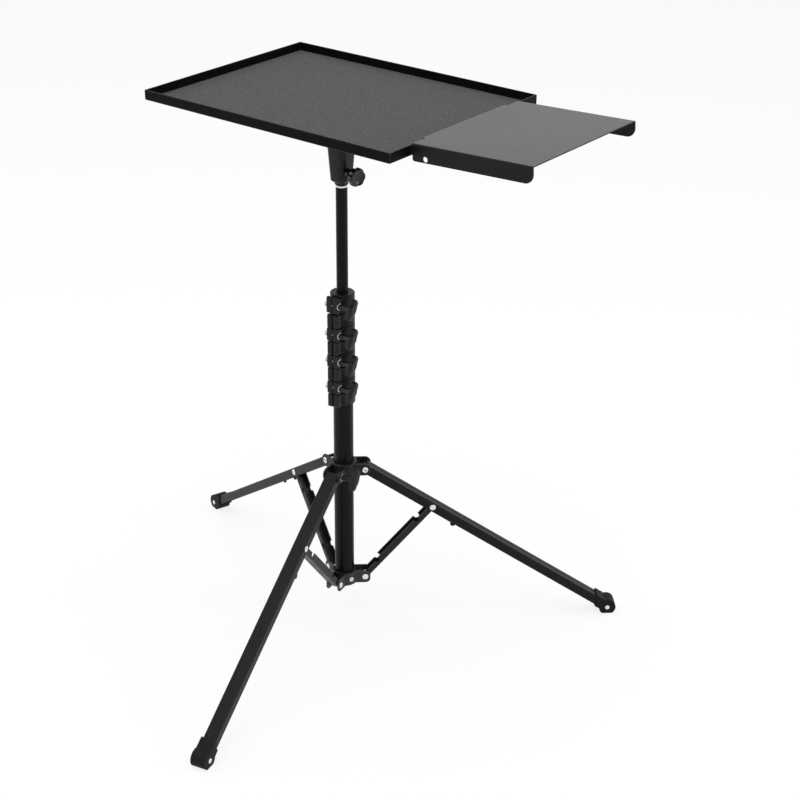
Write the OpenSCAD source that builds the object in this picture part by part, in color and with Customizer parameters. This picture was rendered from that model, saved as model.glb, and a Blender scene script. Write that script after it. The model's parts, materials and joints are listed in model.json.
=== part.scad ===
/* [Tray] */
// Width of the tray over its rims
tray_w = 406; // [300:1:500]
// Depth of the tray over its rims
tray_d = 308; // [250:1:400]
// Height of the rim above the tray's underside
rim_h = 14; // [10:1:25]
// Thickness of the tray's sheet steel
tray_t = 1.5; // [1:0.1:2]
// Outside radius of the tray's folded edges
tray_bend = 2.5; // [2.1:0.1:4]
// Thickness of the mat on the tray floor
mat_t = 1.5; // [1:0.1:3]
// Gap between the mat and the rim
mat_gap = 1.2; // [0.5:0.1:4]

/* [Side shelf] */
// Length of the shelf outward from the tray's rim
shelf_l = 174; // [120:1:260]
// Width of the shelf over its two flanges
shelf_w = 224; // [160:1:250]
// Depth of the two downturned flanges
shelf_drop = 22; // [18:1:30]
// Thickness of the shelf's sheet steel
shelf_t = 1.5; // [1:0.1:2]
// Width of the tab that hooks over the rim
hook_w = 170; // [100:1:200]
// Depth of the hook behind the rim
hook_drop = 8; // [5:0.5:8.5]
// Gap between the hook and the rim's inner face
hook_gap = 0.9; // [0.7:0.1:1.5]
// Angle by which the shelf tips up from the rim
shelf_rise = 2.8; // [0:0.1:3.5]
// Radius of the flanges' outer lower corners
flange_round = 12; // [4:0.5:16]
// Diameter of the hole near each flange's inner end
flange_hole_d = 7; // [4:0.5:9]
// Distance of that hole from the flange's inner end
flange_hole_x = 19; // [10:1:40]

/* [Head] */
// Height of the head block between the spigot ring and the tray
head_h = 112.2; // [80:0.1:140]
// Side of the block under its flange
head_top_w = 37; // [30:1:46]
// Side of the block at its lower end
head_low_w = 25; // [22:1:30]
// Side of the square flange that carries the tray
head_flange_w = 62; // [56:1:90]
// Thickness of that flange
head_flange_t = 4; // [3:0.5:6]
// Diameter of the four tray screws
tray_screw_d = 5; // [4:0.5:6]
// Distance between the tray screws
tray_screw_span = 48; // [44:1:50]
// Height of the head knob's axis above the block's lower end
head_knob_up = 18.5; // [16:0.5:30]
// Direction that the head knob points to
head_knob_turn = -12; // [-40:1:40]
// Outside radius of the lobed head knob
head_knob_r = 12.8; // [10:0.1:15]
// Thickness of the lobed head knob
head_knob_t = 9.5; // [6:0.5:12]

/* [Mast] */
// Outside diameter of the lowest mast tube
mast_d = 28; // [28:0.5:30]
// Step in diameter from one tube to the next
tube_step = 3; // [3:0.1:3.2]
// Wall of each mast tube
tube_wall = 1.2; // [1:0.1:1.2]
// Height of the lowest clamp above the leg collar's top
clamp_rise = 94; // [93:1:140]
// Distance that the thinnest tube is drawn out
drawn_out = 151.5; // [150:0.5:200]
// Length of the thinnest tube
top_tube_l = 430; // [380:1:450]
// Height of the three middle tubes' lower ends above the hub
tube_foot = 20; // [18:1:40]
// Diameter of the bright spigot on top of the mast
spigot_d = 14; // [11:0.5:14]
// Height of the spigot above its ring
spigot_h = 62; // [40:1:70]
// Height of the spigot's ring
ring_h = 3; // [2:0.5:5]

/* [Clamps] */
// Outside diameter of each clamp band
band_d = 34; // [33.5:0.5:36]
// Height of each clamp's lower band
low_band_h = 19.5; // [17:0.5:24]
// Height of each clamp's upper band
top_band_h = 18.6; // [17:0.1:24]
// Extra height of the topmost clamp's upper band
top_band_extra = 7; // [0:0.5:10]
// Height of the neck between the two bands
neck_h = 1.5; // [1:0.1:2.5]
// Gap between stacked clamps
stack_gap = 0.5; // [0.3:0.1:2]
// Width of each clamp's slit
slit_w = 1.6; // [1:0.1:2.5]
// Direction that the clamp screws point to
knob_turn = 5; // [-10:1:15]

/* [Wing knobs] */
// Diameter of the knob screws
screw_d = 5; // [4:0.5:5.5]
// Diameter of a wing knob's stem
stem_d = 8; // [7:0.5:9]
// Length of a wing knob's stem
stem_l = 16; // [13:0.5:20]
// Length of the wing from tip to tip
wing_l = 31; // [24:1:34]
// Thickness of the wing along its screw
wing_t = 9.5; // [6:0.5:11]
// Width of the wing's tips
wing_w = 8; // [6:0.5:9]
// Tilt of the wing about its screw
wing_turn = 32; // [0:1:60]

/* [Legs] */
// Length of a leg between its collar pivot and its foot pin
leg_l = 437; // [400:1:480]
// Angle of the spread legs from upright
spread = 56; // [50:0.5:57]
// Direction of the first leg
leg_turn = 41.3; // [38:0.1:46]
// Distance of the leg pivots from the mast's axis
pivot_r = 30; // [30:0.5:33]
// Width of a leg's channel
leg_w = 19; // [18:0.5:21]
// Height of a leg's channel
leg_h = 13; // [12.6:0.1:14]
// Wall of a leg's channel
leg_t = 1.5; // [1.2:0.1:1.6]
// Width of the grooves along a leg's top
groove_w = 1.2; // [0.8:0.1:1.8]
// Depth of the grooves along a leg's top
groove_deep = 0.5; // [0.3:0.1:0.7]
// Distance of the strut pin from the collar pivot
strut_at = 118; // [110:1:125]
// Distance of the stop lugs beyond the strut pin
lug_at = 40; // [30:1:60]
// Radius of the stop lugs under a leg's walls
lug_r = 4; // [3:0.5:5]

/* [Struts] */
// Length of a strut between its two pivots
strut_l = 150; // [145:1:160]
// Thickness of the struts' sheet steel
strut_t = 1.5; // [1:0.1:1.5]
// Height of the strut's web above its pivot line
strut_back = 4.3; // [4:0.1:4.4]
// Depth of the strut's flanges below its pivot line
strut_deep = 6; // [5:0.1:7]
// Distance of each notch from its nearer pivot
notch_at = 31; // [26:1:40]
// Width of each notch
notch_w = 8; // [5:0.5:10]

/* [Collar and hub] */
// Height of the collar above the leg pivots
collar_up = 10.6; // [9:0.1:12]
// Height of the collar below the leg pivots
collar_down = 13; // [10:0.5:18]
// Wall of the collar's sleeve
collar_wall = 4.7; // [3:0.1:5]
// Thickness of the collar's ears
ear_t = 2.5; // [2:0.1:3]
// Radius of the collar's rounded ears
ear_r = 9; // [8:0.1:9.5]
// Radius of the hub's core
core_r = 16.5; // [16:0.1:18]
// Height of the hub's core above the strut pivots
core_up = 10; // [8:0.5:12]
// Height of the hub's core below the strut pivots
core_down = 9; // [8:0.5:12]
// Thickness of the hub's sheet plates
plate_t = 2; // [1.5:0.1:2.5]
// Height of the hub's sheet plates
plate_h = 19; // [15:0.5:20]
// Reach of the hub's ears beyond the strut pivots
plate_reach = 7.5; // [6:0.1:8]

/* [Feet] */
// Height of the foot pins above the floor
foot_pin_h = 10; // [9:0.5:11.5]
// Radius of the foot's round end
foot_r = 12.5; // [12:0.1:14]
// Wall of the foot around the leg
foot_wall = 1.8; // [1.4:0.1:2.5]
// Length of the foot's sleeve up the leg
foot_sleeve = 25; // [20:1:40]

/* [Fits] */
// Running gap between pieces that slide or turn on each other
run = 0.3; // [0.25:0.01:0.35]
// Radial gap between a pin and its hole
pin_gap = 0.1; // [0.05:0.01:0.1]
// Gap on each side of a leg or strut between its ears
side_gap = 0.5; // [0.3:0.1:0.6]
// Diameter of the leg pivots
pivot_d = 5; // [4:0.5:5.5]
// Diameter of the strut and foot pins
pin_d = 4; // [3:0.5:4.5]
// Diameter of the domed rivet heads
rivet_d = 9; // [7:0.5:10]
// Thickness of the rivet heads
rivet_t = 1.2; // [0.8:0.1:1.6]

/* [Hidden] */
$fn = 64;

// A strut's lean follows from the leg's, because both pivots lie at one radius
strut_lean = asin(strut_at * sin(spread) / strut_l);
pivot_z = foot_pin_h + leg_l * cos(spread);
foot_x = pivot_r + leg_l * sin(spread);
hub_z = pivot_z - strut_at * cos(spread) - strut_l * cos(strut_lean);
core_top = hub_z + core_up;
strut_w = leg_w - 2 * leg_t - 2 * side_gap;
hub_gap = strut_w / 2 + side_gap;
ear_gap = leg_w / 2 + side_gap;
foot_w = leg_w + 2 * foot_wall;

// The mast is worked out upward from the collar
clamp_h = low_band_h + neck_h + top_band_h;
clamp_pitch = clamp_h + stack_gap;
clamp_base = pivot_z + collar_up + clamp_rise;
grip = low_band_h + neck_h / 2;
stack_top = clamp_base + 3 * clamp_pitch + clamp_h + top_band_extra;
top_tube_z = stack_top + drawn_out;
ring_top = top_tube_z + ring_h;
head_z = ring_top + run;
tray_z = head_z + head_h;
rim_top = tray_z + rim_h;
spigot_hole_d = spigot_d + 2 * pin_gap;
head_knob_z = head_z + head_knob_up;
head_boss_x = 20.5;
head_knob_x = 27;
lug_y = band_d / 2 + 5;
lug_half = 9;
lug_tip = band_d / 2 + 10.5;
nut_t = 3;
washer_t = 1.2;

// The origin is on the floor, under the middle of everything
foot_reach = foot_x + foot_r;
function foot_corner(turn, side) = [
  foot_reach * cos(turn) - side * foot_w / 2 * sin(turn),
  foot_reach * sin(turn) + side * foot_w / 2 * cos(turn)];
corners = [for (k = [0:2], side = [-1, 1]) foot_corner(leg_turn + 120 * k, side)];
shelf_x = tray_w / 2 - tray_t;
shelf_start = tray_t + 0.4;
shelf_far = shelf_x + (shelf_start + shelf_l - flange_round) * cos(shelf_rise)
  + (shelf_drop - flange_round) * sin(shelf_rise) + flange_round;
high_x = max(max([for (c = corners) c[0]]), shelf_far);
low_x = min(min([for (c = corners) c[0]]), -tray_w / 2);
high_y = max(max([for (c = corners) c[1]]), tray_d / 2);
low_y = min(min([for (c = corners) c[1]]), -tray_d / 2);
mid_x = (high_x + low_x) / 2;
mid_y = (high_y + low_y) / 2;

function tube_d(k) = mast_d - (k - 1) * tube_step;
function clamp_z(k) = clamp_base + (k - 1) * clamp_pitch;

module place() {
  translate([-mid_x, -mid_y, 0]) children();
}

// Turns what is drawn towards +X to a leg's own direction
module at_leg(k) {
  rotate([0, 0, leg_turn + 120 * (k - 1)]) children();
}

// +X runs down the leg from its collar pivot and +Z is the leg's outer side
module leg_frame() {
  translate([pivot_r, 0, pivot_z]) rotate([0, 90 - spread, 0]) children();
}

// +X runs from the strut's leg pin to its hub pivot and +Z is its outer side
module strut_frame() {
  translate([pivot_r + strut_at * sin(spread), 0, pivot_z - strut_at * cos(spread)])
    rotate([0, 90 + strut_lean, 0]) children();
}

// A shaft along Y, centred on the origin
module cross_shaft(d, l) {
  rotate([90, 0, 0]) cylinder(d = d, h = l, center = true);
}

// A thing drawn flat in X and Z, with its thickness along Y
module upright(y, t) {
  translate([0, y + t, 0]) rotate([90, 0, 0]) linear_extrude(height = t) children();
}

// A thing drawn flat in Y and Z, run along X
module run_along(l) {
  rotate([90, 0, 90]) linear_extrude(height = l) children();
}

module rounded_square(w, d, r) {
  translate([-w / 2 + r, -d / 2]) square([w - 2 * r, d]);
  translate([-w / 2, -d / 2 + r]) square([w, d - 2 * r]);
  for (x = [-1, 1], y = [-1, 1]) translate([x * (w / 2 - r), y * (d / 2 - r)]) circle(r);
}

// A box outline standing on y = 0 with its two lower corners rounded
module pan_outline(w, h, r) {
  translate([-w / 2, r]) square([w, h - r]);
  translate([-w / 2 + r, 0]) square([w - 2 * r, r + 0.01]);
  for (x = [-1, 1]) translate([x * (w / 2 - r), r]) circle(r);
}

// A channel's cross-section, open below, with its top at y = top and its mouth at y = low
module channel_outline(w, top, low, t, r) {
  difference() {
    translate([0, top]) mirror([0, 1]) pan_outline(w, top - low, r);
    translate([0, top - t]) mirror([0, 1]) pan_outline(w - 2 * t, top - low, max(r - t, 0.2));
  }
}

// A turned band with chamfered edges
module band(r, h, hole_r, c) {
  rotate_extrude()
    polygon([[hole_r, 0], [r - c, 0], [r, c], [r, h - c], [r - c, h], [hole_r, h]]);
}

// A pan folded from one sheet: each pair of rims is one bent outline
module pan(w, d, h, r, up) {
  intersection() {
    translate([-w / 2, 0, 0]) run_along(w) pan_outline(d, h + up, r);
    upright(-d / 2, d) pan_outline(w, h + up, r);
  }
}

module tray() {
  color("#1d1d1f") place() translate([0, 0, tray_z]) difference() {
    pan(tray_w, tray_d, rim_h, tray_bend, 0);
    translate([0, 0, tray_t])
      pan(tray_w - 2 * tray_t, tray_d - 2 * tray_t, rim_h, tray_bend - tray_t, 1);
    for (x = [-1, 1], y = [-1, 1])
      translate([x * tray_screw_span / 2, y * tray_screw_span / 2, -1])
        cylinder(d = tray_screw_d + 2 * pin_gap, h = tray_t + 2);
  }
}

module mat() {
  inset = 2 * (tray_t + mat_gap);
  color("#4c4d50") place() translate([0, 0, tray_z + tray_t])
    linear_extrude(height = mat_t) rounded_square(tray_w - inset, tray_d - inset, 5);
}

// Top and flanges are one bent sheet, and the flanges' ends are cut to a rounded outline
module side_shelf() {
  hole_z = -shelf_drop + 6;
  color("#2c2d30") place() translate([shelf_x, 0, rim_top + run]) rotate([0, -shelf_rise, 0])
  difference() {
    union() {
      intersection() {
        translate([shelf_start, 0, 0]) run_along(shelf_l)
          channel_outline(shelf_w, shelf_t, shelf_t - shelf_drop, shelf_t, 2.4);
        upright(-shelf_w / 2, shelf_w) shelf_side();
      }
      translate([-hook_gap - shelf_t, -hook_w / 2, 0])
        cube([hook_gap + shelf_t + shelf_start + 0.5, hook_w, shelf_t]);
      translate([-hook_gap - shelf_t, -hook_w / 2, -hook_drop])
        cube([shelf_t, hook_w, hook_drop + shelf_t]);
    }
    translate([shelf_start + flange_hole_x, 0, hole_z])
      cross_shaft(flange_hole_d, shelf_w + 2);
  }
}

// Outline of a flange: a small round at the rim and a large one at the outer end
module shelf_side() {
  low = shelf_t - shelf_drop;
  far = shelf_start + shelf_l;
  near_r = 3;
  translate([shelf_start, low + flange_round]) square([shelf_l, shelf_drop - flange_round]);
  translate([shelf_start, low + near_r]) square([near_r + 1, shelf_drop - near_r]);
  translate([shelf_start + near_r, low]) square([shelf_l - near_r - flange_round, shelf_drop]);
  translate([shelf_start + near_r, low + near_r]) circle(near_r);
  translate([far - flange_round, low + flange_round]) circle(flange_round);
}

module head_block() {
  boss_top = 5;
  color("#232325") place() translate([0, 0, head_z]) difference() {
    union() {
      hull() {
        translate([0, 0, boss_top]) linear_extrude(height = 1)
          rounded_square(head_low_w - 3, head_low_w - 3, 7, $fn = 32);
        translate([0, 0, boss_top + 2]) linear_extrude(height = 1)
          rounded_square(head_low_w, head_low_w, 7.5, $fn = 32);
        translate([0, 0, head_h - head_flange_t - 1]) linear_extrude(height = 1)
          rounded_square(head_top_w, head_top_w, 8, $fn = 32);
      }
      translate([0, 0, head_h - head_flange_t]) linear_extrude(height = head_flange_t)
        rounded_square(head_flange_w, head_flange_w, 8);
      band(9.3, boss_top + 1, 0, 1);
      translate([0, 0, head_knob_up]) rotate([0, 90, head_knob_turn])
        cylinder(d = 14, h = head_boss_x);
    }
    translate([0, 0, -1]) cylinder(d = spigot_hole_d, h = spigot_h + 2);
    translate([0, 0, head_knob_up]) rotate([0, 90, head_knob_turn])
      cylinder(d = screw_d + 2 * pin_gap, h = head_boss_x + 1);
    for (x = [-1, 1], y = [-1, 1])
      translate([x * tray_screw_span / 2, y * tray_screw_span / 2, head_h - head_flange_t - 1])
        cylinder(d = tray_screw_d + 2 * pin_gap, h = head_flange_t + 2);
  }
}

module tray_screws() {
  color("#8c8d90") place() for (x = [-1, 1], y = [-1, 1])
    translate([x * tray_screw_span / 2, y * tray_screw_span / 2, tray_z]) {
      translate([0, 0, -head_flange_t - 2.6]) band(tray_screw_d * 0.9, 2.6, 0, 0.6);
      translate([0, 0, -head_flange_t - 1])
        cylinder(d = tray_screw_d, h = head_flange_t + 1 + tray_t - 0.1);
    }
}

// Six lobes round a dished disc, on a stem that meets the block's boss
module head_knob() {
  lobe_r = 4;
  color("#2a2a2c") place() translate([0, 0, head_knob_z]) rotate([0, 90, head_knob_turn]) {
    translate([0, 0, spigot_d / 2 + run]) cylinder(d = screw_d, h = head_knob_x);
    translate([0, 0, head_boss_x + run]) cylinder(d = 11, h = head_knob_x - head_boss_x);
    translate([0, 0, head_knob_x]) difference() {
      union() {
        linear_extrude(height = head_knob_t - 1) lobed_disc(head_knob_r, lobe_r);
        linear_extrude(height = head_knob_t) lobed_disc(head_knob_r - 0.8, lobe_r - 0.8);
      }
      translate([0, 0, head_knob_t - 1.6])
        cylinder(r1 = head_knob_r * 0.5, r2 = head_knob_r * 0.66, h = 2);
    }
  }
}

module lobed_disc(r, lobe_r) {
  circle(r - 2);
  for (a = [0:60:300]) rotate([0, 0, a]) translate([r - lobe_r, 0]) circle(lobe_r);
}

module spigot() {
  plug_d = tube_d(5) - 2 * tube_wall - 2 * pin_gap;
  color("#d8d9dc") place() {
    translate([0, 0, top_tube_z - 25]) cylinder(d = plug_d, h = 26);
    translate([0, 0, top_tube_z]) band(tube_d(5) / 2, ring_h, 0, 0.5);
    translate([0, 0, ring_top - 1]) cylinder(d = spigot_d, h = spigot_h + 1);
  }
}

module mast_tube(d, low, high) {
  place() translate([0, 0, low]) difference() {
    cylinder(d = d, h = high - low);
    translate([0, 0, -1]) cylinder(d = d - 2 * tube_wall, h = high - low + 2);
  }
}

module tube_1() {
  color("#202022") mast_tube(tube_d(1), core_top, clamp_z(1) + grip);
}

module middle_tube(k) {
  color("#202022") mast_tube(tube_d(k), core_top + tube_foot, clamp_z(k) + grip);
}

module tube_2() {
  middle_tube(2);
}

module tube_3() {
  middle_tube(3);
}

module tube_4() {
  middle_tube(4);
}

module tube_5() {
  color("#202022") mast_tube(tube_d(5), top_tube_z - top_tube_l, top_tube_z);
}

// The lower band grips its own tube, and the slit upper band closes on the next one
module clamp(k) {
  top_h = top_band_h + (k == 4 ? top_band_extra : 0);
  upper = low_band_h + neck_h;
  color("#1b1b1d") place() translate([0, 0, clamp_z(k)]) rotate([0, 0, knob_turn]) difference() {
    union() {
      band(band_d / 2, low_band_h, 0, 1);
      translate([0, 0, low_band_h - 0.5]) cylinder(d = band_d - 3, h = neck_h + 1);
      translate([0, 0, upper]) band(band_d / 2, top_h, 0, 1);
      translate([0, 0, upper + top_h / 2]) clamp_lug();
    }
    translate([0, 0, -1]) cylinder(d = tube_d(k) + 2 * pin_gap, h = grip + 1 + pin_gap);
    cylinder(d = tube_d(k + 1) + 2 * run, h = upper + top_h + 1);
    translate([-slit_w / 2, -lug_tip - 1, grip + 1])
      cube([slit_w, lug_tip + 1, top_h + neck_h + 1]);
    translate([-0.6, -band_d / 2 - 1, -1]) cube([1.2, 2.2, grip + 3]);
    rotate([0, 0, 34]) translate([0, -band_d / 2, low_band_h / 2]) window_slot();
    translate([0, -lug_y, upper + top_h / 2]) rotate([0, 90, 0])
      cylinder(d = screw_d + 2 * pin_gap, h = 2 * lug_half + 2, center = true);
  }
}

// Two cheeks in one block, rounded where the screw crosses them
module clamp_lug() {
  round_r = lug_tip - lug_y;
  translate([-lug_half, 0, 0]) rotate([90, 0, 90]) linear_extrude(height = 2 * lug_half)
    difference() {
      union() {
        translate([-lug_y, -7]) square([lug_y - band_d / 2 + 3, 14]);
        translate([-lug_tip, -7 + round_r]) square([round_r + 1, 14 - 2 * round_r]);
        for (y = [-1, 1]) translate([-lug_y, y * (7 - round_r)]) circle(round_r);
      }
      translate([-band_d / 2 + 3, -8]) square([20, 16]);
    }
}

// A short upright window moulded into the band's skin
module window_slot() {
  for (z = [-3, 3]) translate([0, 1.2, z]) rotate([90, 0, 0]) cylinder(r = 1.3, h = 2.4);
  translate([-1.3, -1.2, -3]) cube([2.6, 2.4, 6]);
}

module clamp_1() {
  clamp(1);
}

module clamp_2() {
  clamp(2);
}

module clamp_3() {
  clamp(3);
}

module clamp_4() {
  clamp(4);
}

// A wing knob along +X: screw, washer, stem and tilted wing, with its seat at x = 0
module wing_knob(screw_l) {
  rotate([0, 90, 0]) {
    translate([0, 0, -screw_l]) cylinder(d = screw_d, h = screw_l + 1);
    translate([0, 0, run]) cylinder(d = stem_d + 3, h = washer_t);
    translate([0, 0, run]) cylinder(d = stem_d, h = stem_l + 1);
    translate([0, 0, -screw_l - nut_t]) cylinder(d = stem_d, h = nut_t, $fn = 6);
  }
  translate([run + stem_l, 0, 0]) rotate([wing_turn, 0, 0]) wing();
}

// A waisted bar with round tips, fuller at its hub, with softened faces
module wing() {
  tip = wing_l / 2 - wing_w / 2;
  for (side = [-1, 1]) translate([0, 0, side * tip]) rotate([0, 90, 0])
    band(wing_w / 2, wing_t, 0, 1);
  rotate([0, 90, 0]) band(wing_w / 2 + 2, wing_t, 0, 1);
  translate([0, -wing_w * 0.42, -tip]) cube([wing_t - 0.5, wing_w * 0.84, 2 * tip]);
}

module clamp_knob(k) {
  top_h = top_band_h + (k == 4 ? top_band_extra : 0);
  color("#161617") place()
    translate([0, 0, clamp_z(k) + low_band_h + neck_h + top_h / 2]) rotate([0, 0, knob_turn])
      translate([lug_half, -lug_y, 0]) wing_knob(2 * lug_half + run);
}

module clamp_knob_1() {
  clamp_knob(1);
}

module clamp_knob_2() {
  clamp_knob(2);
}

module clamp_knob_3() {
  clamp_knob(3);
}

module clamp_knob_4() {
  clamp_knob(4);
}

// A sleeve on the lowest tube with a pair of rounded ears for each leg
module leg_collar() {
  color("#29292b") place() difference() {
    union() {
      translate([0, 0, pivot_z - collar_down])
        band(mast_d / 2 + run + collar_wall, collar_up + collar_down, 0, 1);
      for (k = [1:3], side = [-1, 1]) at_leg(k)
        translate([0, side * (ear_gap + ear_t / 2), pivot_z]) collar_ear();
    }
    translate([0, 0, pivot_z - collar_down - 1])
      cylinder(r = mast_d / 2 + run, h = collar_up + collar_down + 2);
    for (k = [1:3]) at_leg(k) translate([pivot_r, 0, pivot_z])
      cross_shaft(pivot_d + 2 * pin_gap, 60);
  }
}

module collar_ear() {
  upright(-ear_t / 2, ear_t) {
    translate([11, -ear_r]) square([pivot_r - 11, 2 * ear_r]);
    translate([pivot_r, 0]) circle(ear_r);
  }
}

// Shaft through two ears with a head outside each of them
module ear_rivet(half, d, head_d) {
  cross_shaft(d, 2 * half + 2);
  for (side = [-1, 1]) rotate([side * 90, 0, 0]) translate([0, 0, half + 0.05])
    rotate_extrude() polygon([[0, 0], [head_d / 2, 0], [head_d / 2 - 0.2, rivet_t * 0.6],
      [head_d / 2 - 1.2, rivet_t], [0, rivet_t]]);
}

module collar_rivets() {
  color("#c9cacd") place() for (k = [1:2]) at_leg(k) translate([pivot_r, 0, pivot_z])
    ear_rivet(ear_gap + ear_t, pivot_d, rivet_d);
}

// Its screw is the third leg's pivot, and closing it draws the ears onto the mast
module collar_knob() {
  half = ear_gap + ear_t;
  color("#161617") place() at_leg(3) translate([pivot_r, half, pivot_z]) rotate([0, 0, 90])
    wing_knob(2 * half + run);
}

module hub_core() {
  color("#141415") place() {
    translate([0, 0, hub_z - core_down]) band(core_r, core_up + core_down, 0, 1);
    translate([0, 0, core_top - 1])
      cylinder(d = mast_d - 2 * tube_wall - 2 * pin_gap, h = tube_foot - 4);
  }
}

// One bent plate: an ear beside each of two struts and a round stretch between them
module hub_plate(k) {
  hole_d = pin_d + 2 * pin_gap;
  color("#3a3a3d") place() translate([0, 0, hub_z]) difference() {
    translate([0, 0, -plate_h / 2]) linear_extrude(height = plate_h) plate_plan(k);
    at_leg(k) translate([0, hub_gap, 0]) ear_corners();
    at_leg(k + 1) translate([0, -hub_gap - plate_t, 0]) ear_corners();
    at_leg(k) translate([pivot_r, 0, 0]) rotate([-90, 0, 0]) cylinder(d = hole_d, h = 20);
    at_leg(k + 1) translate([pivot_r, 0, 0]) rotate([90, 0, 0]) cylinder(d = hole_d, h = 20);
    at_leg(k) rotate([0, 90, 60]) cylinder(d = hole_d, h = 30);
  }
}

// The plate from above, cut round the core
module plate_plan(k) {
  ring_in = core_r + pin_gap;
  start = asin((hub_gap + plate_t / 2) / (ring_in + plate_t / 2));
  ear_l = pivot_r + plate_reach - core_r / 2;
  difference() {
    union() {
      intersection() {
        circle(ring_in + plate_t);
        at_leg(k) polygon([[0, 0], [60 * cos(start), 60 * sin(start)], [60 * cos(60), 60 * sin(60)],
          [60 * cos(120 - start), 60 * sin(120 - start)]]);
      }
      at_leg(k) translate([core_r / 2, hub_gap]) square([ear_l, plate_t]);
      at_leg(k + 1) translate([core_r / 2, -hub_gap - plate_t]) square([ear_l, plate_t]);
    }
    circle(ring_in);
  }
}

module hub_plate_1() {
  hub_plate(1);
}

module hub_plate_2() {
  hub_plate(2);
}

module hub_plate_3() {
  hub_plate(3);
}

// What is cut away to round an ear's two outer corners, with a faint crease where each round starts
module ear_corners() {
  round_r = 7;
  crease = 0.05;
  far = pivot_r + plate_reach;
  upright(-1, plate_t + 2) difference() {
    translate([far - round_r, -plate_h / 2 - 1]) square([round_r + 1, plate_h + 2]);
    for (y = [-1, 1])
      translate([far - round_r, y * (plate_h / 2 - round_r)]) circle(round_r + crease);
    translate([far - round_r - 1, -plate_h / 2 + round_r])
      square([round_r + 3, plate_h - 2 * round_r]);
  }
}

// A rivet that stands on +Z: a shank through the plate and a head on top
module plate_rivet(shank, head_d) {
  translate([0, 0, -shank]) cylinder(d = pin_d, h = shank + 0.5);
  translate([0, 0, 0.05]) rotate_extrude() polygon([[0, 0], [head_d / 2, 0],
    [head_d / 2 - 0.2, rivet_t * 0.6], [head_d / 2 - 1.2, rivet_t], [0, rivet_t]]);
}

// The strut pivots' rivets end flush inside the plates
module hub_rivets() {
  out = hub_gap + plate_t;
  color("#c9cacd") place() for (k = [1:3]) at_leg(k) {
    for (side = [-1, 1]) translate([pivot_r, side * out, hub_z]) rotate([-side * 90, 0, 0])
      plate_rivet(plate_t, rivet_d);
    rotate([0, 0, 60]) translate([core_r + pin_gap + plate_t, 0, hub_z]) rotate([0, 90, 0])
      plate_rivet(plate_t, rivet_d - 2);
  }
}

// A grooved channel open below, with round ends and two stop lugs under its walls
module leg(k) {
  side_y = leg_w / 2 - leg_t;
  end_x = leg_l + 2;
  color("#1f1f21") place() at_leg(k) leg_frame() difference() {
    union() {
      run_along(end_x) channel_outline(leg_w, leg_h / 2, -leg_h / 2, leg_t, 1.8);
      for (y = [-leg_w / 2, side_y]) {
        upright(y, leg_t) circle(leg_h / 2);
        translate([strut_at + lug_at, 0, -leg_h / 2]) upright(y, leg_t) circle(lug_r);
      }
    }
    for (y = [-2.1, 0, 2.1] * groove_w)
      translate([-1, y - groove_w / 2, leg_h / 2 - groove_deep]) cube([end_x + 2, groove_w, 2]);
    cross_shaft(pivot_d + 2 * pin_gap, leg_w + 2);
    translate([strut_at, 0, 0]) cross_shaft(pin_d + 2 * pin_gap, leg_w + 2);
    translate([leg_l, 0, 0]) cross_shaft(pin_d + 2 * pin_gap, leg_w + 2);
  }
}

module leg_1() {
  leg(1);
}

module leg_2() {
  leg(2);
}

module leg_3() {
  leg(3);
}

// A sheet channel with its web outward and two notches in each flange
module strut(k) {
  low = -strut_deep;
  color("#2b2b2d") place() at_leg(k) strut_frame() difference() {
    union() {
      intersection() {
        run_along(strut_l) channel_outline(strut_w, strut_back, low, strut_t, 1.6);
        upright(-strut_w / 2, strut_w) strut_side();
      }
      for (x = [0, strut_l], y = [-strut_w / 2, strut_w / 2 - strut_t])
        translate([x, 0, 0]) upright(y, strut_t) circle(strut_back - 0.2);
    }
    for (x = [0, strut_l]) translate([x, 0, 0]) cross_shaft(pin_d + 2 * pin_gap, strut_w + 2);
  }
}

// Side outline of a strut: full depth between the notches and shallower towards its pivots
module strut_side() {
  low = -strut_deep;
  near = notch_at;
  far = strut_l - notch_at;
  difference() {
    translate([0, low]) square([strut_l, strut_deep + strut_back]);
    for (x = [0, far]) translate([x - 0.01, low - 0.01])
      square([near + 0.02, strut_deep - strut_back + 0.01]);
    for (x = [near, far]) translate([x, low + notch_w * 0.35]) circle(notch_w / 2);
    for (x = [near, far]) translate([x - notch_w / 2, low - 1]) square([notch_w, notch_w * 0.35 + 1]);
  }
}

module strut_1() {
  strut(1);
}

module strut_2() {
  strut(2);
}

module strut_3() {
  strut(3);
}

module strut_pin(k) {
  color("#c9cacd") place() at_leg(k) leg_frame() translate([strut_at, 0, 0])
    ear_rivet(leg_w / 2, pin_d, rivet_d);
}

module strut_pin_1() {
  strut_pin(1);
}

module strut_pin_2() {
  strut_pin(2);
}

module strut_pin_3() {
  strut_pin(3);
}

// A moulded cap wrapped round the leg's end, with a curved mouth and a sole flat on the floor
module foot(k) {
  half_h = leg_h / 2 + foot_wall;
  pocket = leg_w + 2 * pin_gap;
  color("#19191a") place() at_leg(k) intersection() {
    leg_frame() difference() {
      translate([leg_l, 0, 0]) upright(-foot_w / 2, foot_w) {
        difference() {
          translate([-foot_sleeve, -half_h]) square([foot_sleeve + 1, 2 * half_h]);
          translate([-foot_sleeve - 7, -half_h]) circle(14);
        }
        circle(foot_r);
      }
      translate([leg_l - 2 * foot_sleeve, -pocket / 2, -leg_h / 2 - pin_gap])
        cube([2 * foot_sleeve + 2 + pin_gap, pocket, leg_h + 2 * pin_gap]);
      translate([leg_l, 0, 0]) cross_shaft(pin_d + 2 * pin_gap, foot_w + 2);
    }
    translate([0, -50, 0]) cube([foot_reach + 50, 100, pivot_z]);
  }
}

module foot_1() {
  foot(1);
}

module foot_2() {
  foot(2);
}

module foot_3() {
  foot(3);
}

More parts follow.
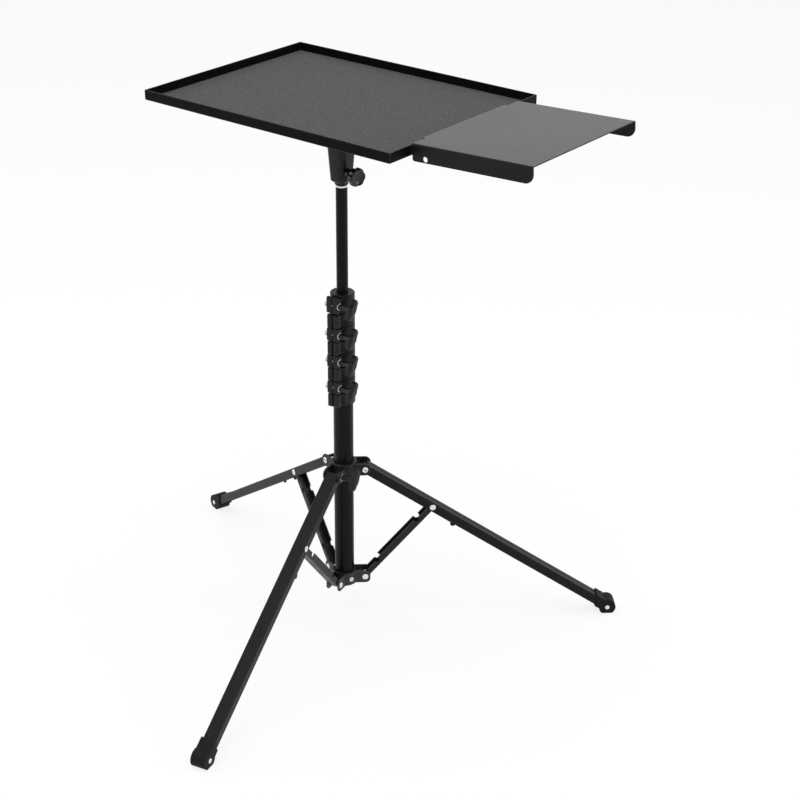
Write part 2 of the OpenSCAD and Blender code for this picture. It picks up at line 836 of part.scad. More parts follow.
module foot_rivet(k) {
  color("#c9cacd") place() at_leg(k) leg_frame() translate([leg_l, 0, 0])
    ear_rivet(foot_w / 2, pin_d, rivet_d - 2);
}

module foot_rivet_1() {
  foot_rivet(1);
}

module foot_rivet_2() {
  foot_rivet(2);
}

module foot_rivet_3() {
  foot_rivet(3);
}

tray();
mat();
side_shelf();
head_block();
tray_screws();
head_knob();
spigot();
tube_1();
tube_2();
tube_3();
tube_4();
tube_5();
clamp_1();
clamp_2();
clamp_3();
clamp_4();
clamp_knob_1();
clamp_knob_2();
clamp_knob_3();
clamp_knob_4();
leg_collar();
collar_rivets();
collar_knob();
hub_core();
hub_plate_1();
hub_plate_2();
hub_plate_3();
hub_rivets();
leg_1();
leg_2();
leg_3();
strut_1();
strut_2();
strut_3();
strut_pin_1();
strut_pin_2();
strut_pin_3();
foot_1();
foot_2();
foot_3();
foot_rivet_1();
foot_rivet_2();
foot_rivet_3();
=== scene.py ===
"""A stand with a tray: a folding three-legged base, a five-part mast, a rimmed tray and a side shelf."""

import json

import bmesh
import bpy
import numpy as np
from mathutils import Matrix, Vector


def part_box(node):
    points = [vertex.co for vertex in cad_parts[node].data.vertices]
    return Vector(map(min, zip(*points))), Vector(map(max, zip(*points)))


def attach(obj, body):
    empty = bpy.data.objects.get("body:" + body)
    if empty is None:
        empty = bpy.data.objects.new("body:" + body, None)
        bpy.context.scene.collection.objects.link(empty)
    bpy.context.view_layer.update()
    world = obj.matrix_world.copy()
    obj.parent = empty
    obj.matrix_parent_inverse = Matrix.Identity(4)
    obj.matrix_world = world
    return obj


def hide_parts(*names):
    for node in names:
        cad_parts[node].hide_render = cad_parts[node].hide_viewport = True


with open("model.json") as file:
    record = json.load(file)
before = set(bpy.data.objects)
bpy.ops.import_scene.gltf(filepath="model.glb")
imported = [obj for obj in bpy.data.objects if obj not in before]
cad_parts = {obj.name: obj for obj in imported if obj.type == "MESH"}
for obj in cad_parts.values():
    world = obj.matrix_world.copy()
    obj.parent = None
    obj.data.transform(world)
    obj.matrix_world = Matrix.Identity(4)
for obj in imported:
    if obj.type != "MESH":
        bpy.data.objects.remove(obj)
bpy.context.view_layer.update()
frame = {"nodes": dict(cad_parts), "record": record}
mm = 0.001

# Mast tubes: five drawn aluminium tubes, each sliding in the one below, with a satin black coat.
# The coat shows faint lines along the tube and a very fine grain.
body_of = {n: b for b, nodes in frame["record"]["behaviour"]["bodies"].items() for n in nodes}
# The last of these is how wide the painted highlight along sharp edges runs.
cloud_size, rub_size, edge_highlight_width = 45 * mm, 20 * mm, 0.5 * mm


class Nodes:
    """A new material's shader nodes, added and joined by name."""

    def __init__(self, name):
        self.material = bpy.data.materials.new(name)
        self.material.use_nodes = True
        self.tree = self.material.node_tree
        self.surface = self.tree.nodes["Principled BSDF"]
        self.place = self.add("ShaderNodeTexCoord").outputs["Object"]

    def add(self, kind, values=None, **settings):
        node = self.tree.nodes.new(kind)
        for key, value in settings.items():
            setattr(node, key, value)
        for key, value in (values or {}).items():
            if hasattr(value, "is_output"):
                self.tree.links.new(value, node.inputs[key])
            else:
                node.inputs[key].default_value = value
        return node

    def join(self, output, key):
        self.tree.links.new(output, self.surface.inputs[key])

    def noise(self, size, detail=3.0, stretch=(1, 1, 1)):
        """Noise whose grains are about size metres across, drawn out by stretch along each axis."""
        shrink = [1 / s for s in stretch]
        at = self.add("ShaderNodeMapping", {"Vector": self.place, "Scale": shrink}).outputs[0]
        made = self.add("ShaderNodeTexNoise", {"Vector": at, "Scale": 1 / size, "Detail": detail})
        return made.outputs["Fac"]

    def span(self, value, low, high, from_low=0.0, from_high=1.0):
        """Brings a value from one range to another and holds it there."""
        ends = {"From Min": from_low, "From Max": from_high, "To Min": low, "To Max": high}
        return self.add("ShaderNodeMapRange", {"Value": value, **ends}).outputs[0]

    def blend(self, share, first, second):
        """The first colour at share 0 and the second at share 1."""
        return self.add("ShaderNodeMix", {0: share, 6: first, 7: second}, data_type="RGBA").outputs[2]

    def edges(self, width, low, high):
        """1 on sharp edges and 0 on flats: how far the rounded normal turns from the true one."""
        true = self.add("ShaderNodeNewGeometry").outputs["Normal"]
        rounded = self.add("ShaderNodeBevel", {"Radius": width}, samples=4).outputs[0]
        turned = self.add("ShaderNodeVectorMath", {0: true, 1: rounded}, operation="DOT_PRODUCT")
        return self.span(turned.outputs["Value"], 1.0, 0.0, low, high)


def grey(level, warm=0.0):
    """A near-neutral colour, slightly blue where warm is below 0."""
    return (level * (1 + warm), level, level * (1 - warm), 1)


def coat(name, level, rough, grain, depth, shine=0.25, edge=0.05, drift=0.06, lines=(1, 1, 1), top=None):
    """A painted or moulded black: grain sets the texture's size and depth its height, in metres.

    top is the colour painted on faces that look up: a painted reflection of the bright room above, paler
    than the coat.
    """
    n = Nodes(name)
    cloud = n.noise(cloud_size, 4)
    fine = n.noise(grain, 2, lines)
    body = n.blend(cloud, grey(level * 0.8, -0.03), grey(level * 1.25, 0.02))
    specks = n.span(fine, 0.0, 1.0, 0.35, 0.75)
    body = n.blend(n.span(specks, 0.0, 0.3), body, grey(level * 1.9))
    if top:
        # Faces that look up get the colour top: a painted reflection of the light from above.
        facing = n.add("ShaderNodeNewGeometry").outputs["Normal"]
        rise = n.add("ShaderNodeSeparateXYZ", {0: facing}).outputs[2]
        painted_sheen_top = n.blend(fine, grey(top * 0.88), grey(top * 1.12))
        body = n.blend(n.span(rise, 0.0, 1.0, 0.80, 0.95), body, painted_sheen_top)
    # Sharp edges are blended to the colour edge: a painted highlight along them.
    painted_edge_highlight = n.edges(edge_highlight_width, 0.80, 0.995)
    n.join(n.blend(painted_edge_highlight, body, grey(edge)), "Base Color")
    n.join(n.span(n.noise(rub_size, 5), rough - drift, rough + drift, 0.3, 0.7), "Roughness")
    bump = n.add("ShaderNodeBump", {"Height": fine, "Distance": depth, "Strength": 0.6})
    n.join(bump.outputs[0], "Normal")
    n.surface.inputs["Specular IOR Level"].default_value = shine
    return n.material


def dress(node, finish):
    """Gives a CAD node's own mesh a finish."""
    mesh = frame["nodes"][node].data
    mesh.materials.clear()
    mesh.materials.append(finish)


def middle(node):
    """The centre of a CAD node's box."""
    lo, hi = map(np.array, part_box(node))
    return (lo + hi) / 2


mast = middle("tube_1") * (1, 1, 0)
tube_coat = coat("satin_tube_coat", 0.004, 0.30, 0.0011, 0.02 * mm, shine=0.10, edge=0.02,
                 lines=(1, 1, 40))
for k in range(1, 6):
    dress(f"tube_{k}", tube_coat)

# Hub: a turned black plug in the lowest tube's foot, and three bent sheet plates round it.
# The plates are dark grey coated steel, punched out and folded.
sharp_fold, flat_fold = np.radians((32, 0.4))
plug_black = coat("hub_plug_black", 0.004, 0.5, 0.0006, 0.03 * mm, shine=0.12, edge=0.02)
plate_coat = coat("hub_plate_coat", 0.024, 0.38, 0.0008, 0.03 * mm, shine=0.22, edge=0.10)


def softened(node, finish, round_by=0.35 * mm, steps=2):
    """A copy of a CAD piece, its doubled corners merged, its sharp edges rounded by round_by."""
    mesh = frame["nodes"][node].data.copy()
    mesh.materials.clear()
    bm = bmesh.new()
    bm.from_mesh(mesh)
    bmesh.ops.remove_doubles(bm, verts=bm.verts, dist=1e-6)
    bmesh.ops.dissolve_limit(bm, angle_limit=flat_fold, verts=bm.verts, edges=bm.edges)
    for layer in list(bm.loops.layers.float_vector.keys()):
        bm.loops.layers.float_vector.remove(bm.loops.layers.float_vector[layer])
    bm.to_mesh(mesh)
    bm.free()
    if "custom_normal" in mesh.attributes:
        mesh.attributes.remove(mesh.attributes["custom_normal"])
    mesh.shade_smooth()
    piece = bpy.data.objects.new(node + "_piece", mesh)
    bpy.context.scene.collection.objects.link(piece)
    mesh.materials.append(finish)
    rounded = piece.modifiers.new("rounded", "BEVEL")
    rounded.width = round_by
    rounded.segments = steps
    rounded.limit_method = "ANGLE"
    rounded.angle_limit = sharp_fold
    rounded.harden_normals = True
    rounded.use_clamp_overlap = True
    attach(piece, body_of[node])
    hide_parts(node)
    return piece


dress("hub_core", plug_black)
for k in (1, 2, 3):
    softened(f"hub_plate_{k}", plate_coat, 0.3 * mm)

# Leg collar: one black nylon moulding that slides on the lowest tube, with a pair of ears for
# each leg. Its wing knob clamps it on the tube.
nylon = coat("collar_nylon", 0.008, 0.40, 0.0007, 0.06 * mm, shine=0.20, edge=0.05)
softened("leg_collar", nylon, 0.6 * mm, 3)

# Legs: folded steel channels with a black coat, open below, with three fine grooves along the
# top. Each turns on a rivet between two ears of the collar.
leg_coat = coat("leg_coat", 0.005, 0.32, 0.0004, 0.008 * mm, shine=0.14, edge=0.05)
for k in (1, 2, 3):
    dress(f"leg_{k}", leg_coat)

# Struts: thin folded steel channels with a dark coat, riveted inside the legs and between the
# hub's plates. Two notches in each flange clear the stop lugs.
strut_coat = coat("strut_coat", 0.012, 0.38, 0.0006, 0.01 * mm, shine=0.18, edge=0.07)
for k in (1, 2, 3):
    softened(f"strut_{k}", strut_coat, 0.25 * mm)

# Feet: black rubber boots, each moulded to fit its leg's end and pushed over it.
# One rivet through the sides holds each boot.
boot_rubber = coat("boot_rubber", 0.006, 0.60, 0.0008, 0.08 * mm, shine=0.12, edge=0.02)
for k in (1, 2, 3):
    softened(f"foot_{k}", boot_rubber, 0.7 * mm, 3)

# Rivets: nickel plated steel. The struts' pins, the hub's hinges and the boots' rivets have
# domed heads; the legs' pivots and the hub plates' fixings are hollow, with rolled rims.
rivet_nickel = Nodes("rivet_nickel")
rivet_nickel.surface.inputs["Metallic"].default_value = 1.0
scuff_size = 0.9 * mm
scuffs = rivet_nickel.noise(scuff_size, 4)
rivet_nickel.join(rivet_nickel.blend(scuffs, grey(0.62), grey(0.86)), "Base Color")
rivet_nickel.join(rivet_nickel.span(scuffs, 0.14, 0.34), "Roughness")
bright_nickel = rivet_nickel.material
pivot_r = 30 * mm
core_out = 18.6 * mm


def skin(name, rows, finish, sharp=40):
    """A closed surface through a grid of points: rows are rings, and the end rings are points."""
    count, around, _ = rows.shape
    i, j = np.meshgrid(np.arange(count - 1), np.arange(around), indexing="ij")
    near, far = i * around + j, i * around + (j + 1) % around
    faces = np.stack([near, near + around, far + around, far], axis=-1).reshape(-1, 4)
    mesh = bpy.data.meshes.new(name)
    mesh.from_pydata(rows.reshape(-1, 3).tolist(), [], faces.tolist())
    bm = bmesh.new()
    bm.from_mesh(mesh)
    bmesh.ops.remove_doubles(bm, verts=bm.verts, dist=1e-6)
    bmesh.ops.dissolve_degenerate(bm, edges=bm.edges, dist=1e-7)
    bmesh.ops.recalc_face_normals(bm, faces=bm.faces)
    bm.to_mesh(mesh)
    bm.free()
    mesh.shade_smooth()
    mesh.set_sharp_from_angle(angle=np.radians(sharp))
    mesh.materials.append(finish)
    piece = bpy.data.objects.new(name, mesh)
    bpy.context.scene.collection.objects.link(piece)
    return piece


def turned(profile, at, axis, around=40, lobes=0, lobe_depth=None):
    """Rings of a profile of (radius, height) turned about axis through at.

    Between lobes a ring's radius dips by its share of lobe_depth times the square of a raised
    cosine of the turn.
    """
    axis = np.array(axis, float) / np.linalg.norm(axis)
    first = np.cross(axis, (0, 0, 1) if abs(axis[2]) < 0.9 else (1, 0, 0))
    first /= np.linalg.norm(first)
    second = np.cross(axis, first)
    turn = np.arange(around) * 2 * np.pi / around
    r, h = np.array(profile, float).T[:, :, None]
    dip = np.zeros_like(r) if lobe_depth is None else np.array(lobe_depth, float)[:, None]
    r = r * (1 - dip * (0.5 - 0.5 * np.cos(lobes * turn)) ** 2)
    ring = np.cos(turn)[:, None] * first + np.sin(turn)[:, None] * second
    return np.array(at) + h[..., None] * axis + r[..., None] * ring


def head_profile(kind, head_r, head_h, shank_r, seat):
    """Half a rivet from its top's centre to its shank.

    A dome is a quarter ellipse. A rolled rim is half an ellipse round a flat-bottomed hole.
    """
    t = np.linspace(0, np.pi / 2, 9)
    if kind == "domed":
        top = [(head_r * np.sin(a), seat + 0.2 * head_h + 0.8 * head_h * np.cos(a)) for a in t]
    else:
        rim, mid = (head_r - 0.42 * head_r) / 2, 0.71 * head_r
        a = np.linspace(np.pi, 0, 11)
        top = [(0, seat - 1.6 * mm), (0.40 * head_r, seat - 1.6 * mm)]
        top += [(mid + rim * np.cos(b), seat + 0.25 * head_h + 0.75 * head_h * np.sin(b)) for b in a]
    return top + [(head_r, seat), (shank_r, seat)]


def through_rivet(at, axis, half, kind, head_r, head_h=1.25 * mm, shank_r=1.9 * mm):
    """A rivet through a pivot: the same head at both ends."""
    end = head_profile(kind, head_r, head_h, shank_r, half)
    return turned(end + [(r, -h) for r, h in end[::-1]], at, axis)


def plate_rivet(at, axis, kind, head_r, head_h=1.25 * mm, shank_r=1.9 * mm, shank=1.9 * mm):
    """A rivet with one head, which ends flush inside its plate."""
    end = head_profile(kind, head_r, head_h, shank_r, 0)
    return turned(end + [(shank_r, -shank), (0, -shank)], at, axis)


def joined(name, grids, finish):
    """Several closed surfaces as one piece."""
    parts = [skin(f"{name}_{i}", g, finish) for i, g in enumerate(grids)]
    with bpy.context.temp_override(active_object=parts[0], selected_editable_objects=parts):
        bpy.ops.object.join()
    parts[0].name = name
    return parts[0]


pivot_z, hub_z = middle("collar_rivets")[2], middle("hub_rivets")[2]
outward, sideways = {}, {}
leg_half, strut_half, ear_half, boot_half = 9.55 * mm, 10 * mm, 12.5 * mm, 11.35 * mm
big_head, small_head, hollow_shank, seat_gap = 4.5 * mm, 3.5 * mm, 2.4 * mm, 0.05 * mm
for k in (1, 2, 3):
    to_foot = (middle(f"foot_{k}") - mast) * (1, 1, 0)
    outward[k] = to_foot / np.linalg.norm(to_foot)
    sideways[k] = np.array((-outward[k][1], outward[k][0], 0))
    for name, node, half, head_r in ((f"strut_rivet_{k}", f"strut_pin_{k}", leg_half, big_head),
                                     (f"toe_rivet_{k}", f"foot_rivet_{k}", boot_half, small_head)):
        rivet = through_rivet(middle(node), sideways[k], half, "domed", head_r)
        piece = skin(name, rivet, bright_nickel)
        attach(piece, body_of[node])
        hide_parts(node)
collar_pins = joined("collar_pivots", [
    through_rivet(mast + outward[k] * pivot_r + (0, 0, pivot_z), sideways[k], ear_half, "hollow",
                  big_head, shank_r=hollow_shank) for k in (1, 2)], bright_nickel)
plate_pins = []
for k in (1, 2, 3):
    hinge = mast + outward[k] * pivot_r + (0, 0, hub_z)
    plate_pins += [plate_rivet(hinge + s * sideways[k] * (strut_half + seat_gap), s * sideways[k],
                               "domed", big_head) for s in (-1, 1)]
    between = outward[k] * np.cos(np.pi / 3) + sideways[k] * np.sin(np.pi / 3)
    seat = mast + between * (core_out + seat_gap) + (0, 0, hub_z)
    plate_pins.append(plate_rivet(seat, between, "hollow", small_head))
hub_pins = joined("hub_pivots", plate_pins, bright_nickel)
for piece, node in ((collar_pins, "collar_rivets"), (hub_pins, "hub_rivets")):
    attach(piece, body_of[node])
    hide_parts(node)

# Clamps: four black nylon mouldings, stacked. The lower band is fixed on its own tube, and the
# slit upper band closes on the next one when its wing knob is turned. Both bands carry a
# flat-faced block at the slit; the solids have the upper one, as a round lug.
clamp_nylon = coat("clamp_nylon", 0.007, 0.42, 0.0006, 0.06 * mm, shine=0.18, edge=0.05)
knob_turn, lug_half, lug_y = np.radians(5), 9 * mm, 22 * mm
along = np.array((np.cos(knob_turn), np.sin(knob_turn), 0))
aside = np.array((-np.sin(knob_turn), np.cos(knob_turn), 0))
lug_from, lug_reach, lug_zone, lug_stretch, hole_zone = 17.6 * mm, 25.2 * mm, 7.5 * mm, 1.75, 3.4 * mm
cheek_slit, cheek_out, cheek_in, cheek_square = 0.8 * mm, 8.8 * mm, 13.5 * mm, 9
cheek_rings = [(0, 0), (0.80, 0), (0.93, 0.25 * mm), (0.985, 0.7 * mm), (1, 1.2 * mm)]
band_edge, cheek_foot, cheek_gap = 0.3 * mm, 0.4 * mm, 1.6 * mm


def squared(points, knob_z, top_half):
    """A clamp's points with the round lug made a block.

    Past lug_from, and off the screw's hole, the height above the screw is multiplied by
    lug_stretch and held within top_half, and the distance from the mast within lug_reach.
    """
    out, off = -(points - mast) @ aside, points[:, 2] - knob_z
    from_screw = np.hypot(out - lug_y, off)
    lug = (out > lug_from) & (from_screw > hole_zone) & (np.abs(off) < lug_zone)
    drawn = knob_z + np.clip(off * lug_stretch, -top_half, top_half)
    points[:, 2] = np.where(lug, drawn, points[:, 2])
    pull = np.where(lug & (out > lug_reach), out - lug_reach, 0)
    return points + pull[:, None] * aside


def cheek(side, low, high):
    """One block beside the slit: level superellipses, smaller near both ends by cheek_rings."""
    turn = np.linspace(0, 2 * np.pi, 64, endpoint=False)
    c, d = (np.sign(f(turn)) * np.abs(f(turn)) ** (2 / cheek_square) for f in (np.cos, np.sin))
    mid_along, half_along = side * (cheek_slit + cheek_out) / 2, (cheek_out - cheek_slit) / 2
    mid_out, half_out = (lug_reach + cheek_in) / 2, (lug_reach - cheek_in) / 2
    levels = [(r, low + z) for r, z in cheek_rings] + [(r, high - z) for r, z in cheek_rings[::-1]]
    return np.array([mast + (0, 0, z) + (mid_along + r * half_along * c)[:, None] * along
                     - (mid_out + r * half_out * d)[:, None] * aside for r, z in levels])


for k in (1, 2, 3, 4):
    lo, hi = map(np.array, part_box(f"clamp_{k}"))
    knob_z = middle(f"clamp_knob_{k}")[2]
    top_half = hi[2] - knob_z - band_edge
    mesh = softened(f"clamp_{k}", clamp_nylon, 0.45 * mm, 3).data
    points = np.empty(len(mesh.vertices) * 3)
    mesh.vertices.foreach_get("co", points)
    mesh.vertices.foreach_set("co", squared(points.reshape(-1, 3), knob_z, top_half).ravel())
    mesh.update()
    low, high = lo[2] + cheek_foot, knob_z - top_half - cheek_gap
    blocks = joined(f"clamp_{k}_cheeks", [cheek(side, low, high) for side in (-1, 1)], clamp_nylon)
    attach(blocks, body_of[f"clamp_{k}"])

# Wing knobs: moulded black nylon on zinc plated screws, four on the clamps and one on the collar.
knob_nylon = coat("knob_nylon", 0.005, 0.36, 0.0005, 0.05 * mm, shine=0.22, edge=0.04)
screw_zinc = Nodes("screw_zinc")
screw_zinc.surface.inputs["Metallic"].default_value = 1.0
streak_size = 1.2 * mm
streaks = screw_zinc.noise(streak_size, 5)
screw_zinc.join(screw_zinc.blend(streaks, grey(0.40), grey(0.68, -0.02)), "Base Color")
screw_zinc.join(screw_zinc.span(streaks, 0.22, 0.42), "Roughness")
zinc = screw_zinc.material
wing_long, wing_thick, wing_broad, wing_tilt = 31 * mm, 9.5 * mm, 9.8 * mm, np.radians(38)
stem_long, stem_r, gap = 16 * mm, 4 * mm, 0.3 * mm
blade_square, tip_flat, tip_round, swell, swell_run = 5, 7, 2.6, 0.42, 0.33
nut_high, nut_r, washer_r, washer_high, bolt_r = 3 * mm, 4 * mm, 4.8 * mm, 1.2 * mm, 2.5 * mm


def wing_blade(seat, axis, up):
    """Superellipses across the blade's length.

    Their width swells by a bell curve at the hub, and both width and thickness fall to nothing
    at the tips by (1 - |u|^tip_flat)^(1 / tip_round), where u runs from -1 to 1.
    """
    axis, up = axis / np.linalg.norm(axis), up / np.linalg.norm(up)
    side = np.cross(axis, up)
    lean = np.cos(wing_tilt) * up - np.sin(wing_tilt) * side
    across = np.cross(axis, lean)
    u = np.sin(np.linspace(-np.pi / 2, np.pi / 2, 33))
    v = np.arange(48) * 2 * np.pi / 48
    tip = (1 - np.abs(u) ** tip_flat) ** (1 / tip_round)
    broad = (wing_broad / 2) * (1 + swell * np.exp(-(u / swell_run) ** 2)) * tip
    thick = (wing_thick / 2) * (0.90 + 0.10 * np.exp(-(u / 0.5) ** 2)) * (0.12 + 0.88 * tip) * (tip > 0)
    c = np.sign(np.cos(v)) * np.abs(np.cos(v)) ** (2 / blade_square)
    s = np.sign(np.sin(v)) * np.abs(np.sin(v)) ** (2 / blade_square)
    centre = seat + axis * (gap + stem_long + wing_thick / 2)
    return (centre + (u * wing_long / 2)[:, None, None] * lean
            + (broad[:, None] * c)[..., None] * across + (thick[:, None] * s)[..., None] * axis)


def wing_stem(seat, axis):
    """The stem's profile: a straight neck that flares into the blade."""
    lip = gap + 1.25 * mm
    run = gap + stem_long
    return turned([(0, lip), (stem_r - 0.3 * mm, lip), (stem_r, lip + 0.3 * mm), (stem_r, run - 3 * mm),
                   (stem_r + 0.7 * mm, run - 0.9 * mm), (stem_r + 1.3 * mm, run + 0.8 * mm),
                   (0, run + 0.8 * mm)], seat, axis)


def screw_set(seat, axis, length):
    """A screw with its washer under the knob and a nut at its far end."""
    start, face = gap + 1 * mm, gap + washer_high
    chamfer = washer_r - 0.3 * mm
    shaft = turned([(0, start), (bolt_r, start), (bolt_r, -length), (0, -length)], seat, axis, 24)
    washer = turned([(0, face), (chamfer, face), (washer_r, face - 0.25 * mm),
                     (washer_r, gap + 0.25 * mm), (chamfer, gap), (0, gap)], seat, axis)
    hexagon = turned([(0, -length), (nut_r, -length), (nut_r, -length - nut_high),
                      (0, -length - nut_high)], seat, axis, 6)
    return [shaft, washer, hexagon]


def wing_knob(node, seat, axis, length):
    """A blade on its stem, and the screw set, both in the place of one CAD knob."""
    shapes = [wing_blade(seat, axis, np.array((0, 0, 1.0))), wing_stem(seat, axis)]
    blade = joined(node + "_wing", shapes, knob_nylon)
    screws = joined(node + "_screw", screw_set(seat, axis, length), zinc)
    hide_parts(node)
    for piece, slot in ((blade, "moulded_black"), (screws, "zinc_steel")):
        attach(piece, body_of[node])


for k in (1, 2, 3, 4):
    height = np.array((0, 0, middle(f"clamp_knob_{k}")[2]))
    seat = mast + height + along * lug_half - aside * lug_y
    wing_knob(f"clamp_knob_{k}", seat, along, 2 * lug_half + gap)
seat = mast + (0, 0, pivot_z) + outward[3] * pivot_r + sideways[3] * ear_half
wing_knob("collar_knob", seat, sideways[3], 2 * ear_half + gap)

# Spigot: a polished steel plug pressed into the top tube, with a ring that the head turns on.
polish = Nodes("spigot_polish")
polish.surface.inputs["Metallic"].default_value = 1.0
ring_size, ring_stretch = 0.6 * mm, (60, 60, 1)
rings = polish.noise(ring_size, 3, ring_stretch)
polish.join(polish.blend(rings, grey(0.70), grey(0.88)), "Base Color")
polish.join(polish.span(rings, 0.08, 0.22), "Roughness")
dress("spigot", polish.material)

# Head: a tapered black nylon block under a square flange, held to the tray by four screws.
head_nylon = coat("head_nylon", 0.005, 0.34, 0.0007, 0.04 * mm, shine=0.20, edge=0.04)
softened("head_block", head_nylon, 0.6 * mm, 3)
softened("tray_screws", zinc, 0.2 * mm)

# Head knob: a six-lobed black nylon disc with a dished, polished face, on a steel screw.
head_turn = np.radians(-12)
knob_axis = np.array((np.cos(head_turn), np.sin(head_turn), 0))
knob_up = np.array((mast[0], mast[1], middle("head_knob")[2]))
boss, face, deep, wide = 20.5 * mm, 27 * mm, 9.5 * mm, 12.8 * mm
outline = [(0, boss + gap, 0), (5.2 * mm, boss + gap, 0), (5.5 * mm, boss + gap + 0.4 * mm, 0),
           (5.6 * mm, face - 1.5 * mm, 0), (6.6 * mm, face, 0), (9.5 * mm, face + 0.1 * mm, 0.02),
           (11.6 * mm, face + 0.5 * mm, 0.07), (12.6 * mm, face + 1.4 * mm, 0.085),
           (wide, face + 2.6 * mm, 0.09),
           (wide, face + deep - 3.2 * mm, 0.09), (12.5 * mm, face + deep - 1.6 * mm, 0.085),
           (11.8 * mm, face + deep - 0.5 * mm, 0.07), (10.9 * mm, face + deep, 0.05),
           (10.0 * mm, face + deep - 0.3 * mm, 0.02), (9.2 * mm, face + deep - 0.9 * mm, 0),
           (7.6 * mm, face + deep - 1.5 * mm, 0), (5 * mm, face + deep - 1.9 * mm, 0),
           (0, face + deep - 2.1 * mm, 0)]
lobed = turned([row[:2] for row in outline], knob_up, knob_axis, 96, 6, [row[2] for row in outline])
thread_in, thread_out = 7.3 * mm, boss + 1 * mm
thread = turned([(0, thread_in), (bolt_r, thread_in), (bolt_r, thread_out), (0, thread_out)],
                knob_up, knob_axis, 24)
knob_gloss = coat("head_knob_nylon", 0.004, 0.22, 0.0007, 0.015 * mm, shine=0.35, edge=0.02)
lobed_knob = skin("head_knob_disc", lobed, knob_gloss, 50)
knob_screw = skin("head_knob_screw", thread, zinc)
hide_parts("head_knob")
for piece, slot in ((lobed_knob, "moulded_black"), (knob_screw, "zinc_steel")):
    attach(piece, body_of["head_knob"])

# Tray: one sheet of steel folded up on four sides, with a fine satin powder coat.
# Four screws through its floor hold it on the head's flange.
# Its edges, the lip's above all, carry a painted highlight in a much paler grey than the coat.
tray_coat = coat("tray_powder_coat", 0.0025, 0.42, 0.0006, 0.03 * mm, shine=0.05, edge=0.16)
softened("tray", tray_coat, 0.3 * mm)

# Mat: a thin sheet of grey foam rubber with a fine pebbled grain, cut to the tray's inside
# and laid in it.
grain = Nodes("mat_foam_rubber")
pebble_size, soft_size, patch_size = 1.6 * mm, 2.2 * mm, 60 * mm
cells = grain.add("ShaderNodeTexVoronoi", {"Vector": grain.place, "Scale": 1 / pebble_size})
pebbles = cells.outputs["Distance"]
soft = grain.noise(soft_size, 4)
shade = grain.blend(grain.noise(patch_size, 3), grey(0.034), grey(0.046))
shade = grain.blend(grain.span(pebbles, 0.0, 1.0, 0.15, 0.75), shade, grey(0.080))
grain.join(grain.blend(grain.span(soft, 0.0, 0.8, 0.40, 0.68), shade, grey(0.030)), "Base Color")
grain.join(grain.span(soft, 0.72, 0.95), "Roughness")
lift = grain.add("ShaderNodeBump", {"Height": pebbles, "Distance": 0.12 * mm, "Strength": 0.5})
grain.join(lift.outputs[0], "Normal")
grain.surface.inputs["Specular IOR Level"].default_value = 0.3
softened("mat", grain.material, 0.4 * mm)

# Side shelf: folded sheet steel with a smoother satin coat than the tray's. Its inner edge
# hooks over the tray's rim, and it lifts off.
# Its top faces get a painted reflection of the room's light, paler than the coat, and its edges a
# painted highlight.
shelf_coat_with_sheen = coat("shelf_satin_coat_painted_sheen", 0.005, 0.42, 0.0009, 0.01 * mm, shine=0.14, edge=0.07, drift=0.01,
                  top=0.082)
softened("side_shelf", shelf_coat_with_sheen, 0.3 * mm)

# Floor: a wide pale floor, white to the camera and in reflections, that keeps the shadow.
# The studio is even white light with one large soft lamp above and two tall ones at the sides.
floor_half, floor_drop, white_share, room_light = 40.0, 0.2 * mm, 0.80, 0.70
floor_mesh = bpy.data.meshes.new("floor")
corners = np.array([(-1, -1, 0), (1, -1, 0), (1, 1, 0), (-1, 1, 0)]) * floor_half
corners -= (0, 0, floor_drop)
floor_mesh.from_pydata(corners.tolist(), [], [(0, 1, 2, 3)])
floor = bpy.data.objects.new("floor", floor_mesh)
bpy.context.scene.collection.objects.link(floor)


def seen(tree):
    """1 for camera, glossy and transmission rays, and 0 for light that falls on the object."""
    path = tree.nodes.new("ShaderNodeLightPath")
    total = path.outputs["Is Camera Ray"]
    for other in ("Is Glossy Ray", "Is Transmission Ray"):
        highest = tree.nodes.new("ShaderNodeMath")
        highest.operation = "MAXIMUM"
        tree.links.new(total, highest.inputs[0])
        tree.links.new(path.outputs[other], highest.inputs[1])
        total = highest.outputs[0]
    return total


pale = bpy.data.materials.new("pale_floor")
pale.use_nodes = True
tree = pale.node_tree
tree.nodes.remove(tree.nodes["Principled BSDF"])
matt = tree.nodes.new("ShaderNodeBsdfDiffuse")
matt.inputs["Color"].default_value = grey(0.9)
glow = tree.nodes.new("ShaderNodeEmission")
glow.inputs["Color"].default_value = grey(1.0)
share = tree.nodes.new("ShaderNodeMath")
share.operation = "MULTIPLY"
tree.links.new(seen(tree), share.inputs[0])
share.inputs[1].default_value = white_share
both = tree.nodes.new("ShaderNodeMixShader")
for output, socket in ((share.outputs[0], 0), (matt.outputs[0], 1), (glow.outputs[0], 2)):
    tree.links.new(output, both.inputs[socket])
tree.links.new(both.outputs[0], tree.nodes["Material Output"].inputs["Surface"])
floor_mesh.materials.append(pale)

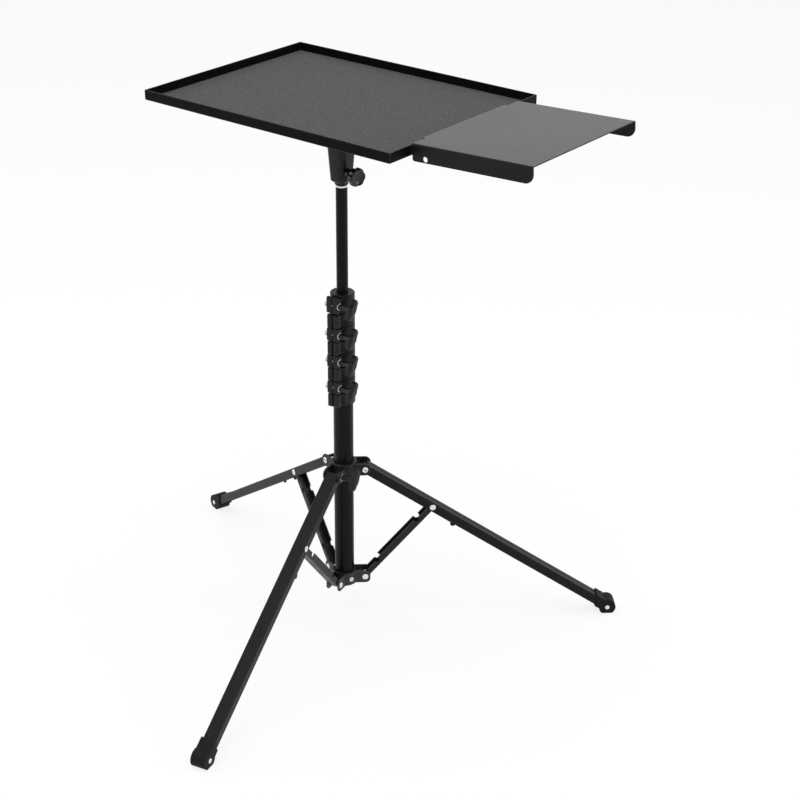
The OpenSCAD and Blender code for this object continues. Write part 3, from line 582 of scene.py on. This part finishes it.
world = bpy.data.worlds.new("studio")
bpy.context.scene.world = world
world.use_nodes = True
tree = world.node_tree
plain = tree.nodes["Background"]
plain.inputs["Color"].default_value = grey(1.0)
plain.inputs["Strength"].default_value = room_light
backdrop = tree.nodes.new("ShaderNodeBackground")
backdrop.inputs["Color"].default_value = grey(1.0)
mix = tree.nodes.new("ShaderNodeMixShader")
for output, socket in ((seen(tree), 0), (plain.outputs[0], 1), (backdrop.outputs[0], 2)):
    tree.links.new(output, mix.inputs[socket])
tree.links.new(mix.outputs[0], tree.nodes["World Output"].inputs["Surface"])

aim = Vector((0, 0.05, 0.5))
for name, where, wide_by, high, power in (
    ("lamp_above", (0.2, -0.3, 3.4), 3.2, 3.2, 60),
    ("lamp_left", (-2.6, -1.6, 1.3), 0.7, 2.4, 20),
    ("lamp_right", (2.4, 1.4, 1.4), 0.7, 2.4, 20),
):
    data = bpy.data.lights.new(name, "AREA")
    data.shape = "RECTANGLE"
    data.size, data.size_y, data.energy = wide_by, high, power
    lamp = bpy.data.objects.new(name, data)
    lamp.location = where
    lamp.rotation_euler = (aim - Vector(where)).to_track_quat("-Z", "Y").to_euler()
    bpy.context.scene.collection.objects.link(lamp)

# Camera: stands where the photograph was taken from, with a long lens. It keeps only a little
# of the photograph's lens shift, because views from other sides keep the shift as well.
camera_at, yaw, pitch, roll = (1.4444, -1.6619, 1.4796), *np.radians((36.924, 25.023, 0.78))
focal_px, frame_px, middle_px = 1783.3, 800, (426.1, 354.4)
ahead = np.array((-np.sin(yaw) * np.cos(pitch), np.cos(yaw) * np.cos(pitch), -np.sin(pitch)))
level = np.array((np.cos(yaw), np.sin(yaw), 0))
above = np.cross(level, ahead)
right = np.cos(roll) * level + np.sin(roll) * above
top = np.cos(roll) * above - np.sin(roll) * level
view = bpy.data.cameras.new("camera")
view.sensor_width = 36
view.lens = focal_px / frame_px * view.sensor_width
view.shift_x = 0.5 - middle_px[0] / frame_px
view.shift_y = middle_px[1] / frame_px - 0.5
view.clip_end = 200
camera = bpy.data.objects.new("camera", view)
axes = np.column_stack([right, top, -ahead, camera_at])
camera.matrix_world = Matrix(np.vstack([axes, (0, 0, 0, 1)]).tolist())
bpy.context.scene.collection.objects.link(camera)
bpy.context.scene.camera = camera
bpy.context.scene.view_settings.view_transform = "Standard"
